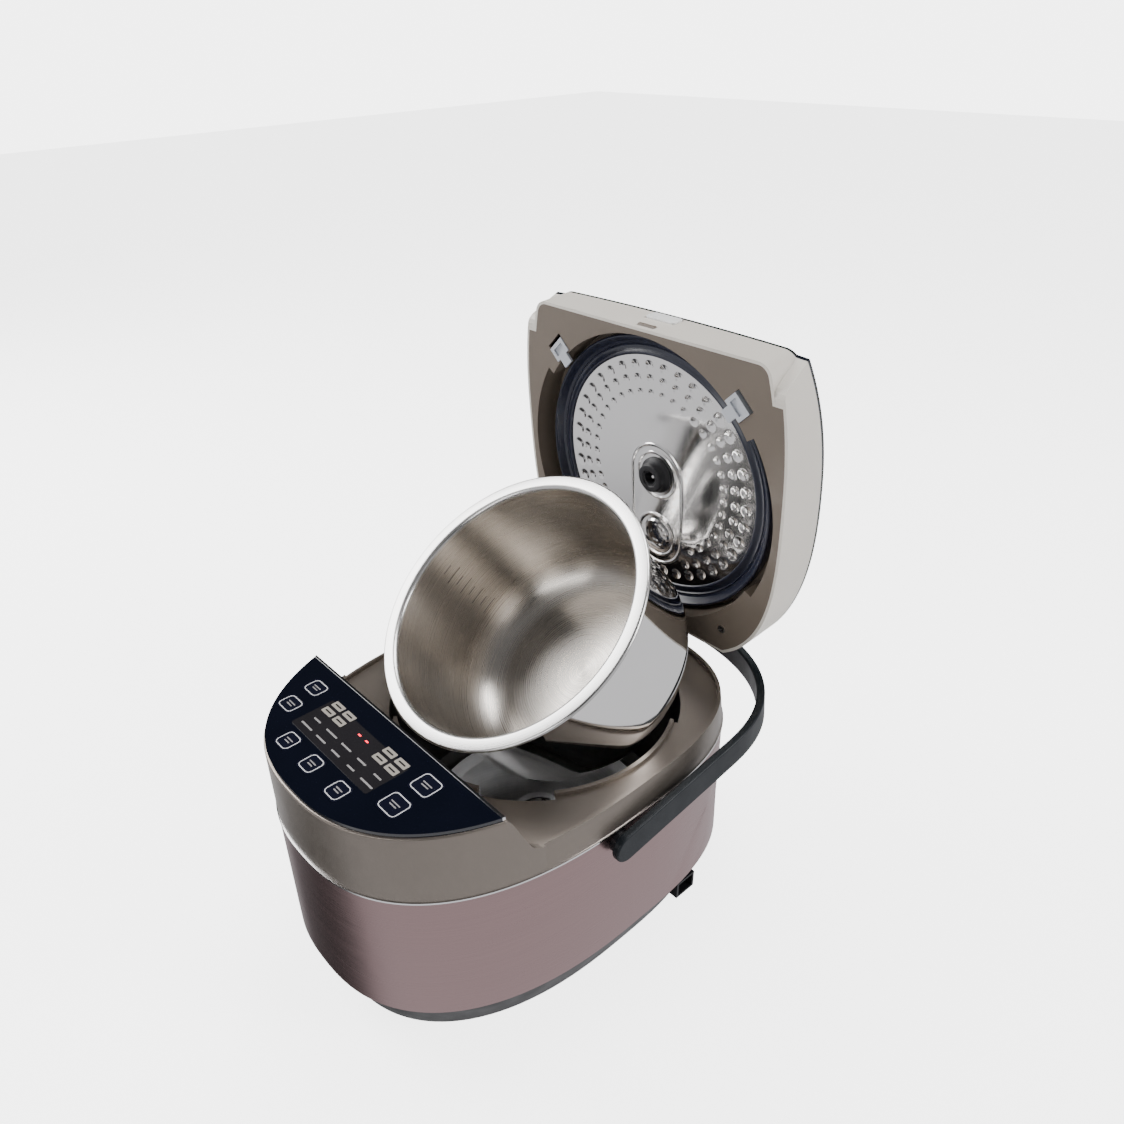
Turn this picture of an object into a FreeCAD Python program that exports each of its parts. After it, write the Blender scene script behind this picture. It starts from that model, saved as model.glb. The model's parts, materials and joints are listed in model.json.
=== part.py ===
"""Household rice cooker: open lid, stainless pot leaning out of the cavity, swing-back carry handle.

Millimetres. +X is the right side, -Y is the control panel at the front, +Z is up.
The origin is on the table surface under the middle of the body.
"""

import FreeCAD
import Part

import math
import os

from FreeCAD import Vector

# ---------------------------------------------------------------- driving dimensions
# Body plan: two half superellipses that share one width.
HALF_WIDTH = 132.6
FRONT_LENGTH, FRONT_POWER = 192.4, 2.4
REAR_LENGTH, REAR_POWER = 162.9, 3.1
PLAN_POINTS = 72

# Body heights.
PAN_BOTTOM = 3.0
BAND_BOTTOM = 41.0
BAND_TOP = 157.0
TRIM_TOP = 158.4
DECK_TOP = 178.5
LIP_TOP = 182.0
CONSOLE_TOP = 216.5
GLASS_TOP = 219.6
CONSOLE_BACK = -102.8

# Wall thicknesses and small plays.
WALL = 2.5
BAND_THICK = 1.0
PLAY = 0.3
PIN_PLAY = 0.06

# Cavity, measured about the pot's seated axis.
POT_Y = 22.0
OPENING_R = 110.5
RECESS_R = 116.5
CUP_R = 118.0
CUP_BOTTOM = 36.0

# Inner pot.
POT_R = 103.5
POT_DEPTH = 120.0
POT_WALL = 1.6
POT_CORNER = 33.0
RIM_R = 114.0
RIM_THICK = 3.6
POT_TILT = 36.5
POT_HEADING = -95.6
POT_RIM_CENTRE = Vector(-0.1, -0.9, 276.8)

# Lid, drawn closed and then swung open.
HINGE_Y, HINGE_Z = 158.0, 192.0
LID_OPEN = 86.3
LID_FACE = 183.5
LID_FRONT = -101.4
LID_REAR = 146.5
LID_INSET = 0.6
LID_NOTCH_INSET = 8.5
CHEEK_GAP = 1.6
LID_CORNER = 12.0
CROWN_TOP = 234.0
CROWN_DROP = 17.0
CROWN_SIDE_R = 1500.0
PLATE_THICK = 2.6
LID_WALL = 2.2
PLATE_FACE = 200.0
PLATE_R = 97.0
SEAL_R = 113.5
LID_HOLE_R = 117.5
BAY_R = 124.0
BAY_ANGLES = ((-34, 28), (152, 214))
WELL_WALL = 1.8
ROOF_Z = 206.5
CLIP_ANGLE = 45.0
VENT_Y = 77.0
PILL_R = 26.0
DIMPLE_RINGS = ((88.5, 4.8, 0.9), (78.5, 4.0, 0.8), (67.5, 3.2, 0.7))
DIMPLE_COUNT = 38

# Carry handle, drawn level and then raised to its rest slope.
HANDLE_Y, HANDLE_Z = -16.0, 147.0
HANDLE_REACH = 212.0
HANDLE_HALF = 140.4
HANDLE_LEG = 110.0
HANDLE_POWER = 2.6
HANDLE_THICK = 6.2
HANDLE_WIDTH = 24.0
HANDLE_SLOPE = 8.0
BOSS_R = 9.0
PIN_R = 5.0

# Keys: centre x, centre y, size along x, size along y.
KEYS = {
    "key_1": (-80.0, -124.0, 19.0, 16.0),
    "key_2": (-77.0, -147.0, 19.0, 16.0),
    "key_3": (-41.8, -168.0, 17.0, 17.0),
    "key_4": (-10.0, -168.0, 17.0, 17.0),
    "key_5": (24.0, -168.0, 17.0, 17.0),
    "key_6": (60.0, -123.0, 21.0, 19.0),
    "key_7": (60.0, -148.0, 21.0, 19.0),
}
WINDOW = (-10.0, -139.0, 84.0, 30.0)
BOARD_Z = 204.0

nodes = {}


# ---------------------------------------------------------------- helpers
def plan_radius(angle, inset):
    """Distance from the origin to the body outline in one direction, moved in by inset."""
    if math.sin(angle) < 0:
        length, power = FRONT_LENGTH - inset, FRONT_POWER
    else:
        length, power = REAR_LENGTH - inset, REAR_POWER
    across = abs(math.cos(angle)) / (HALF_WIDTH - inset)
    along = abs(math.sin(angle)) / length
    return (across**power + along**power) ** (-1.0 / power)


def plan_wire(inset, z):
    points = []
    for i in range(PLAN_POINTS):
        angle = 2 * math.pi * i / PLAN_POINTS
        r = plan_radius(angle, inset)
        points.append(Vector(r * math.cos(angle), r * math.sin(angle), z))
    curve = Part.BSplineCurve()
    curve.interpolate(points, PeriodicFlag=True)
    return Part.Wire([curve.toShape()])


def plan_prism(inset, z0, z1):
    return Part.Face(plan_wire(inset, z0)).extrude(Vector(0, 0, z1 - z0))


def plan_loft(inset0, z0, inset1, z1):
    return Part.makeLoft([plan_wire(inset0, z0), plan_wire(inset1, z1)], True, True)


def box(x0, x1, y0, y1, z0, z1):
    return Part.makeBox(x1 - x0, y1 - y0, z1 - z0, Vector(x0, y0, z0))


def cyl(x, y, z0, z1, r):
    return Part.makeCylinder(r, z1 - z0, Vector(x, y, z0))


def cyl_x(x0, x1, y, z, r):
    return Part.makeCylinder(r, x1 - x0, Vector(x0, y, z), Vector(1, 0, 0))


def ring(x, y, z0, z1, r_out, r_in):
    return cyl(x, y, z0, z1, r_out).cut(cyl(x, y, z0 - 1, z1 + 1, r_in))


def rounded_box(x, y, sx, sy, z0, z1, r):
    block = box(x - sx / 2, x + sx / 2, y - sy / 2, y + sy / 2, z0, z1)
    upright = [e for e in block.Edges if abs(e.Vertexes[0].Z - e.Vertexes[1].Z) > 1e-6]
    return block.makeFillet(r, upright)


def revolve(profile, x, y):
    """Solid of revolution about the vertical line at x, y; profile is a closed (r, z) outline."""
    points = [Vector(x + r, y, z) for r, z in profile]
    face = Part.Face(Part.makePolygon(points + points[:1]))
    return face.revolve(Vector(x, y, 0), Vector(0, 0, 1), 360)


def side_prism(outline, x0, x1, grow=0.0):
    """Solid whose (y, z) outline, grown outwards by grow, is carried from x0 to x1."""
    points = [Vector(x0, y, z) for y, z in outline]
    face = Part.Face(Part.makePolygon(points + points[:1]))
    if grow:
        face = face.makeOffset2D(grow)
    return face.extrude(Vector(x1 - x0, 0, 0))


def sector(r, start, end, z0, z1):
    """Pie piece about the pot axis, between two angles in degrees."""
    piece = Part.makeCylinder(r, z1 - z0, Vector(0, POT_Y, z0), Vector(0, 0, 1), end - start)
    piece.rotate(Vector(0, POT_Y, 0), Vector(0, 0, 1), start)
    return piece


def both_sides(shape):
    mirrored = shape.mirror(Vector(0, 0, 0), Vector(1, 0, 0))
    return [shape, mirrored]


def group(shapes):
    return Part.makeCompound(shapes)


def fuse(shapes):
    return shapes[0].multiFuse(shapes[1:]).removeSplitter()


def soften(shape, radius, wanted):
    """Round the edges that wanted picks, and keep the sharp shape where that fails."""
    edges = [e for e in shape.Edges if wanted(e)]
    try:
        softer = shape.makeFillet(radius, edges)
    except Part.OCCError:
        return shape
    return softer if softer.isValid() and softer.Volume > 0 else shape


# ---------------------------------------------------------------- base and wrap
def make_base():
    outer = plan_loft(14.0, PAN_BOTTOM, 0.6, BAND_BOTTOM)
    inner = plan_loft(17.0, PAN_BOTTOM + WALL, 3.6, BAND_BOTTOM + 0.01)
    pan = outer.cut(inner)
    slots = []
    for row in range(-3, 4):
        for side in (-1, 1):
            x = side * 33.0
            slots.append(box(x - 20, x + 20, row * 13 - 2, row * 13 + 2, 0, 12))
    foot_ring = ring(0, 0, 0, PAN_BOTTOM + 1, 76.0, 72.0)
    screws = [(sx * 70.0, y) for sx in (-1, 1) for y in (-128.0, 118.0)]
    bosses = [cyl(x, y, PAN_BOTTOM + 1, 34, 5.0) for x, y in screws]
    holes = [cyl(x, y, 0, 36, 2.2) for x, y in screws]
    heads = [cyl(x, y, 0, PAN_BOTTOM + 1.6, 4.4) for x, y in screws]
    inlet_hole = box(100, 150, 64, 86, 9, 27)
    pan = fuse([pan, foot_ring] + bosses).cut(Part.makeCompound(slots + holes + heads + [inlet_hole]))
    nodes["base_pan"] = pan

    nodes["base_screws"] = group(
        [
            cyl(x, y, PAN_BOTTOM + 0.2, PAN_BOTTOM + 1.6, 4.2).fuse(
                cyl(x, y, PAN_BOTTOM + 1.6, 24, 2.0)
            )
            for x, y in screws
        ]
    )
    feet = [(sx * 84.0, y) for sx in (-1, 1) for y in (-92.0, 96.0)]
    nodes["rubber_feet"] = group([cyl(x, y, 0, PAN_BOTTOM, 11.0) for x, y in feet])

    pins = [box(108, 118, y - 1, y + 1, 15.5, 20.5) for y in (69.5, 75.0, 80.5)]
    socket = box(106, 126, 64.3, 85.7, 9.3, 26.7).cut(box(113, 140, 66.5, 83.5, 11.5, 24.5))
    nodes["power_inlet"] = socket.cut(Part.makeCompound(pins))
    nodes["inlet_pins"] = group(pins)


def make_band():
    outer = plan_loft(-2.0, BAND_BOTTOM, 0.0, BAND_TOP)
    inner = plan_loft(-2.0 + BAND_THICK, BAND_BOTTOM - 0.01, BAND_THICK, BAND_TOP + 0.01)
    band = outer.cut(inner)
    for side in (-1, 1):
        x0, x1 = sorted((side * 120.0, side * 140.0))
        band = band.cut(cyl_x(x0, x1, HANDLE_Y, HANDLE_Z, BOSS_R))
    nodes["wrap_band"] = band
    nodes["trim_ring"] = plan_prism(-0.7, BAND_TOP, TRIM_TOP).cut(
        plan_prism(3.0, BAND_TOP - 1, TRIM_TOP + 1)
    )


# ---------------------------------------------------------------- upper housing
def cheek_profile():
    """Side outline of the fin that runs down from the panel corner to the deck edge."""
    return [
        (CONSOLE_BACK - 1.0, TRIM_TOP),
        (CONSOLE_BACK - 1.0, CONSOLE_TOP),
        (-101.4, CONSOLE_TOP - 0.8),
        (-99.6, CONSOLE_TOP - 3.5),
        (-89.5, LIP_TOP + 8.0),
        (-87.4, LIP_TOP + 4.0),
        (-84.4, LIP_TOP + 1.2),
        (-80.6, LIP_TOP),
        (-78.0, LIP_TOP),
        (-78.0, TRIM_TOP),
    ]


def make_housing():
    console_block = plan_loft(0.0, TRIM_TOP, 1.2, CONSOLE_TOP)
    front_half = box(-200, 200, -300, CONSOLE_BACK, 0, 400)
    deck_block = plan_loft(0.0, TRIM_TOP, 2.6, LIP_TOP)
    console = console_block.common(front_half)
    console = soften(
        console, 1.4, lambda e: e.BoundBox.ZMin > CONSOLE_TOP - 0.01 and e.BoundBox.YMin < -150
    )
    cheeks = console_block.cut(plan_prism(7.0, 0, 400)).common(side_prism(cheek_profile(), -200, 200))
    shell = fuse([deck_block, console, cheeks])

    deck_recess = plan_prism(5.0, DECK_TOP, 300).cut(front_half)
    under_deck = plan_prism(WALL + 2.6, TRIM_TOP - 1, DECK_TOP - WALL)
    in_console = plan_prism(WALL + 1.4, TRIM_TOP - 1, CONSOLE_TOP - WALL).common(
        box(-200, 200, -300, CONSOLE_BACK - WALL, 0, 400)
    )
    window = plan_prism(8.0, CONSOLE_TOP - 5, CONSOLE_TOP + 5).common(
        box(-200, 200, -300, CONSOLE_BACK - 6.0, 0, 400)
    )
    key_wells = [
        rounded_box(x, y, sx + 1.0, sy + 1.0, CONSOLE_TOP - 1.3, CONSOLE_TOP + 5, 4.5)
        for x, y, sx, sy in KEYS.values()
    ]
    shell = shell.cut(deck_recess).cut(under_deck).cut(in_console).cut(window)
    shell = shell.cut(fuse(key_wells))

    rim = cyl(0, POT_Y, DECK_TOP - WALL, LIP_TOP - 0.5, OPENING_R + 3.0)
    knuckles = []
    for x0, x1 in ((-31.0, -17.0), (17.0, 31.0)):
        knuckles.append(cyl_x(x0, x1, HINGE_Y, HINGE_Z, 8.5))
        knuckles.append(box(x0, x1, HINGE_Y - 8.5, HINGE_Y + 4.6, DECK_TOP - 1, HINGE_Z))
    shell = fuse([shell, rim] + knuckles)
    shell = shell.cut(cyl(0, POT_Y, 150, 200, OPENING_R))
    lifts = []
    for start, end in ((-62, -34), (30, 58)):
        lifts.append(sector(RECESS_R, start, end, 170, 200))
        lifts.append(sector(RECESS_R, 180 - end, 180 - start, 170, 200))
    shell = shell.cut(Part.makeCompound(lifts))
    shell = shell.cut(cyl_x(-40, 40, HINGE_Y, HINGE_Z, 3.0 + PIN_PLAY))
    shell = shell.cut(box(-11, 11, -110, CONSOLE_BACK + 1, 185.5, 194.5))
    nodes["upper_housing"] = shell

    nodes["latch_strike"] = box(-15, 15, -106.5, CONSOLE_BACK - WALL, 184, 200).cut(
        box(-9, 9, -110, -100, 186.8, 192.8)
    )


# ---------------------------------------------------------------- control panel
def make_panel():
    behind_strip = CONSOLE_BACK - 1.8
    glass = plan_prism(2.6, CONSOLE_TOP, GLASS_TOP).common(
        box(-200, 200, -300, behind_strip, 0, 400)
    )
    for x, y, sx, sy in KEYS.values():
        glass = glass.cut(
            rounded_box(x, y, sx + 2 * PLAY, sy + 2 * PLAY, CONSOLE_TOP - 1, GLASS_TOP + 1, 4.0 + PLAY)
        )
    nodes["panel_glass"] = glass
    nodes["panel_trim_strip"] = plan_prism(2.6, CONSOLE_TOP, GLASS_TOP + 0.3).common(
        box(-200, 200, behind_strip, CONSOLE_BACK, 0, 400)
    )

    switches = []
    for name, (x, y, sx, sy) in KEYS.items():
        cap = rounded_box(x, y, sx, sy, CONSOLE_TOP + 0.1, GLASS_TOP + 0.1, 4.0)
        flange = rounded_box(x, y, 9.0, 9.0, CONSOLE_TOP - 1.7, CONSOLE_TOP - 0.2, 3.0)
        neck = cyl(x, y, CONSOLE_TOP - 0.3, CONSOLE_TOP + 0.2, 3.4)
        stem = cyl(x, y, BOARD_Z + 6.6, CONSOLE_TOP - 1.6, 2.5)
        nodes[name] = fuse([cap, neck, flange, stem])
        switches.append(
            box(x - 3, x + 3, y - 3, y + 3, BOARD_Z + 1.6, BOARD_Z + 4.6).fuse(
                cyl(x, y, BOARD_Z + 4.6, BOARD_Z + 5.6, 1.8)
            )
        )
    nodes["key_switches"] = group(switches)

    board = plan_prism(11.0, BOARD_Z, BOARD_Z + 1.6).common(box(-200, 200, -300, -110, 0, 400))
    nodes["control_board"] = board
    x, y, sx, sy = WINDOW
    nodes["display_module"] = box(
        x - sx / 2, x + sx / 2, y - sy / 2, y + sy / 2, BOARD_Z + 1.6, CONSOLE_TOP
    )
    nodes["board_posts"] = group(
        [
            cyl(px, py, BOARD_Z + 1.6, CONSOLE_TOP - WALL, 2.6)
            for px, py in ((-101.0, -112.8), (101.0, -112.8), (-30.0, -178.8), (30.0, -178.8))
        ]
    )


# ---------------------------------------------------------------- cavity and heating
def make_cavity():
    top = DECK_TOP - WALL
    hole = 22.0
    nodes["cavity_cup"] = revolve(
        [
            (hole, CUP_BOTTOM),
            (CUP_R - 9, CUP_BOTTOM),
            (CUP_R, CUP_BOTTOM + 9),
            (CUP_R, top),
            (CUP_R - 1, top),
            (CUP_R - 1, CUP_BOTTOM + 9.4),
            (CUP_R - 9.4, CUP_BOTTOM + 1),
            (hole, CUP_BOTTOM + 1),
        ],
        0,
        POT_Y,
    )
    nodes["heating_plate"] = revolve(
        [
            (19.0, 40.0),
            (88.0, 40.0),
            (96.0, 46.0),
            (96.0, 50.0),
            (84.0, 47.4),
            (60.0, 46.4),
            (24.0, 46.2),
            (19.0, 45.0),
        ],
        0,
        POT_Y,
    )
    nodes["plate_pads"] = group(
        [
            cyl(
                60 * math.cos(math.radians(a)),
                POT_Y + 60 * math.sin(math.radians(a)),
                CUP_BOTTOM + 1,
                40.0,
                5.0,
            )
            for a in (30, 150, 270)
        ]
    )
    heater = Part.makeTorus(74.0, 4.0, Vector(0, POT_Y, CUP_BOTTOM - 5.0))
    nodes["heater_element"] = heater
    nodes["heat_shield"] = ring(0, POT_Y, 48, 150, 120.4, 119.6)
    nodes["shield_tabs"] = group(
        [
            ring(0, POT_Y, z, z + 3, 119.6, CUP_R)
            for z in (60.0, 138.0)
        ]
    )
    nodes["sensor_housing"] = ring(0, POT_Y, 20, 45, 17.0, 15.0).fuse(cyl(0, POT_Y, 18, 20, 17.0))
    nodes["sensor_plunger"] = revolve(
        [
            (0, 26),
            (3, 26),
            (3, 40),
            (13.5, 40),
            (13.5, 49),
            (12, 50.4),
            (0, 50.4),
        ],
        0,
        POT_Y,
    )
    nodes["sensor_spring"] = spring(0, POT_Y, 20.2, 39.8, 7.0, 1.0)
    nodes["power_board"] = box(-60, 60, -150, -104, 14, 15.6)
    nodes["power_board_parts"] = group(
        [
            box(-50, -26, -140, -116, 15.6, 38),
            box(-14, 6, -142, -122, 15.6, 30),
            cyl(22, -128, 15.6, 40, 8),
            cyl(44, -128, 15.6, 34, 6),
        ]
    )
    nodes["power_board_posts"] = group(
        [
            cyl(x, y, PAN_BOTTOM + WALL, 14, 3.0)
            for x in (-52.0, 52.0)
            for y in (-143.0, -110.0)
        ]
    )
    nodes["thermal_fuse"] = cyl_x(30, 50, -86, 24, 4.0)


def spring(x, y, z0, z1, r, wire):
    """Coil spring drawn as a pleated sleeve with one pleat for each turn."""
    turns = int(round((z1 - z0) / (wire * 3.0)))
    step = (z1 - z0) / turns
    outer = []
    inner = []
    for i in range(turns):
        z = z0 + i * step
        outer.append((r - wire, z))
        outer.append((r + wire, z + step / 2))
        inner.append((r - 2 * wire, z))
        inner.append((r, z + step / 2))
    outer.append((r - wire, z1))
    inner.append((r - 2 * wire, z1))
    return revolve(outer + inner[::-1], x, y)


# ---------------------------------------------------------------- carry handle
def handle_path(offset, count=48):
    """Plan of the strap's bend at a distance from its middle line, from right to left."""
    points = []
    for i in range(count + 1):
        angle = math.pi * i / count
        across = abs(math.cos(angle)) / (HANDLE_HALF + offset)
        along = math.sin(angle) / (HANDLE_REACH - HANDLE_LEG + offset)
        r = (across**HANDLE_POWER + along**HANDLE_POWER) ** (-1.0 / HANDLE_POWER)
        points.append(Vector(r * math.cos(angle), HANDLE_LEG + r * math.sin(angle), 0))
    return points


def make_handle():
    half = HANDLE_THICK / 2
    outer = Part.BSplineCurve()
    outer.interpolate(handle_path(half))
    inner = Part.BSplineCurve()
    inner.interpolate(handle_path(-half))
    right, left = HANDLE_HALF, -HANDLE_HALF
    z = -HANDLE_WIDTH / 2
    edges = [
        outer.toShape(),
        Part.makeLine(Vector(left - half, HANDLE_LEG, 0), Vector(left - half, 0, 0)),
        Part.makeLine(Vector(left - half, 0, 0), Vector(left + half, 0, 0)),
        Part.makeLine(Vector(left + half, 0, 0), Vector(left + half, HANDLE_LEG, 0)),
        inner.toShape(),
        Part.makeLine(Vector(right - half, HANDLE_LEG, 0), Vector(right - half, 0, 0)),
        Part.makeLine(Vector(right - half, 0, 0), Vector(right + half, 0, 0)),
        Part.makeLine(Vector(right + half, 0, 0), Vector(right + half, HANDLE_LEG, 0)),
    ]
    face = Part.Face(Part.Wire(Part.__sortEdges__(edges)))
    strap = face.extrude(Vector(0, 0, HANDLE_WIDTH))
    strap.translate(Vector(0, 0, z))
    ends = [cyl_x(s - half, s + half, 0, 0, HANDLE_WIDTH / 2) for s in (left, right)]
    strap = fuse([strap] + ends)
    strap = soften(
        strap,
        1.5,
        lambda e: abs(e.BoundBox.ZLength) < 1e-6 and e.Length > 90 and abs(e.BoundBox.ZMin) > 1,
    )
    for side in (-1, 1):
        x0, x1 = sorted((side * 130.0, side * (HANDLE_HALF + 1.0)))
        strap = strap.cut(cyl_x(x0, x1, 0, 0, PIN_R + PIN_PLAY))
    strap.rotate(Vector(0, 0, 0), Vector(1, 0, 0), HANDLE_SLOPE)
    strap.translate(Vector(0, HANDLE_Y, HANDLE_Z))
    nodes["carry_handle"] = strap

    boss = cyl_x(127.5, 137.0, HANDLE_Y, HANDLE_Z, BOSS_R).fuse(
        cyl_x(125.0, 127.5, HANDLE_Y, HANDLE_Z, BOSS_R + 4)
    )
    boss = boss.cut(cyl_x(100, 150, HANDLE_Y, HANDLE_Z, PIN_R))
    nodes["handle_bosses"] = group(both_sides(boss))
    pin = cyl_x(123.0, HANDLE_HALF + 0.8, HANDLE_Y, HANDLE_Z, PIN_R).fuse(
        cyl_x(121.0, 125.0, HANDLE_Y, HANDLE_Z, PIN_R + 2)
    )
    nodes["handle_pins"] = group(both_sides(pin))


# ---------------------------------------------------------------- inner pot
def make_pot():
    """Deep drawn pot with a flared, rolled rim; drawn about its own axis with the rim at z = 0."""
    r, t, d, c = POT_R, POT_WALL, POT_DEPTH, POT_CORNER

    def arc(cx, cz, radius, a0, a1, count=6):
        steps = [math.radians(a0 + (a1 - a0) * i / count) for i in range(count + 1)]
        return [Vector(cx + radius * math.cos(a), 0, cz + radius * math.sin(a)) for a in steps]

    def arc_edge(cx, cz, radius, a0, a1):
        points = arc(cx, cz, radius, a0, a1, 2)
        return Part.Arc(*points).toShape()

    lip = RIM_THICK / 2
    corner = (r - c, -d + c)
    rim_tip = (RIM_R - lip, -lip)
    flare_r = 4.0
    edges = [
        Part.makeLine(Vector(0, 0, -d), Vector(r - c, 0, -d)),
        arc_edge(*corner, c, -90, 0),
        Part.makeLine(Vector(r, 0, -d + c), Vector(r, 0, -RIM_THICK)),
        Part.makeLine(Vector(r, 0, -RIM_THICK), Vector(RIM_R - lip, 0, -RIM_THICK)),
        arc_edge(*rim_tip, lip, -90, 90),
        Part.makeLine(Vector(RIM_R - lip, 0, 0), Vector(r - t + flare_r, 0, 0)),
        arc_edge(r - t + flare_r, -flare_r, flare_r, 90, 180),
        Part.makeLine(Vector(r - t, 0, -flare_r), Vector(r - t, 0, -d + c)),
        arc_edge(*corner, c - t, 0, -90),
        Part.makeLine(Vector(r - c, 0, -d + t), Vector(0, 0, -d + t)),
        Part.makeLine(Vector(0, 0, -d + t), Vector(0, 0, -d)),
    ]
    pot = Part.Face(Part.Wire(edges)).revolve(Vector(0, 0, 0), Vector(0, 0, 1), 360)
    pot.rotate(Vector(0, 0, 0), Vector(0, 1, 0), POT_TILT)
    pot.rotate(Vector(0, 0, 0), Vector(0, 0, 1), POT_HEADING)
    pot.translate(POT_RIM_CENTRE)
    nodes["inner_pot"] = pot


# ---------------------------------------------------------------- lid
def lid_outline_prism(inset, z0, z1):
    """The lid's plan: full width above and behind the cheeks, narrower between them."""
    length = box(-200, 200, LID_FRONT + inset, LID_REAR - inset, z0 - 1, z1 + 1)
    cheeks = side_prism(cheek_profile(), -200, 200, CHEEK_GAP + inset)
    wide = plan_prism(LID_INSET + inset, z0, z1).common(length).cut(cheeks)
    narrow = plan_prism(LID_NOTCH_INSET + inset, z0, z1).common(
        box(-200, 200, LID_FRONT + inset, LID_REAR - inset - 2, z0 - 1, z1 + 1)
    )
    narrow = soften(
        narrow,
        max(LID_CORNER - inset, 2.0),
        lambda e: e.BoundBox.XLength < 1e-3 and e.BoundBox.YMax < LID_FRONT + inset + 0.5,
    )
    return fuse([wide, narrow])


def crown_solid(drop):
    """Everything under the lid's crowned top, lowered by drop."""
    half = (LID_REAR - LID_FRONT) / 2
    mid = (LID_REAR + LID_FRONT) / 2
    top = CROWN_TOP - drop
    edge = top - CROWN_DROP
    arc = Part.Arc(
        Vector(0, mid - half - 20, edge - 5.6),
        Vector(0, mid, top),
        Vector(0, mid + half + 20, edge - 5.6),
    ).toShape()
    low = 150.0
    a, b = arc.Vertexes[0].Point, arc.Vertexes[1].Point
    face = Part.Face(
        Part.Wire(
            [
                arc,
                Part.makeLine(b, Vector(0, b.y, low)),
                Part.makeLine(Vector(0, b.y, low), Vector(0, a.y, low)),
                Part.makeLine(Vector(0, a.y, low), a),
            ]
        )
    )
    axis = Vector(0, 0, CROWN_TOP - CROWN_SIDE_R)
    swing = math.degrees(150.0 / CROWN_SIDE_R)
    face.rotate(axis, Vector(0, 1, 0), -swing)
    return face.revolve(axis, Vector(0, 1, 0), 2 * swing)


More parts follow.
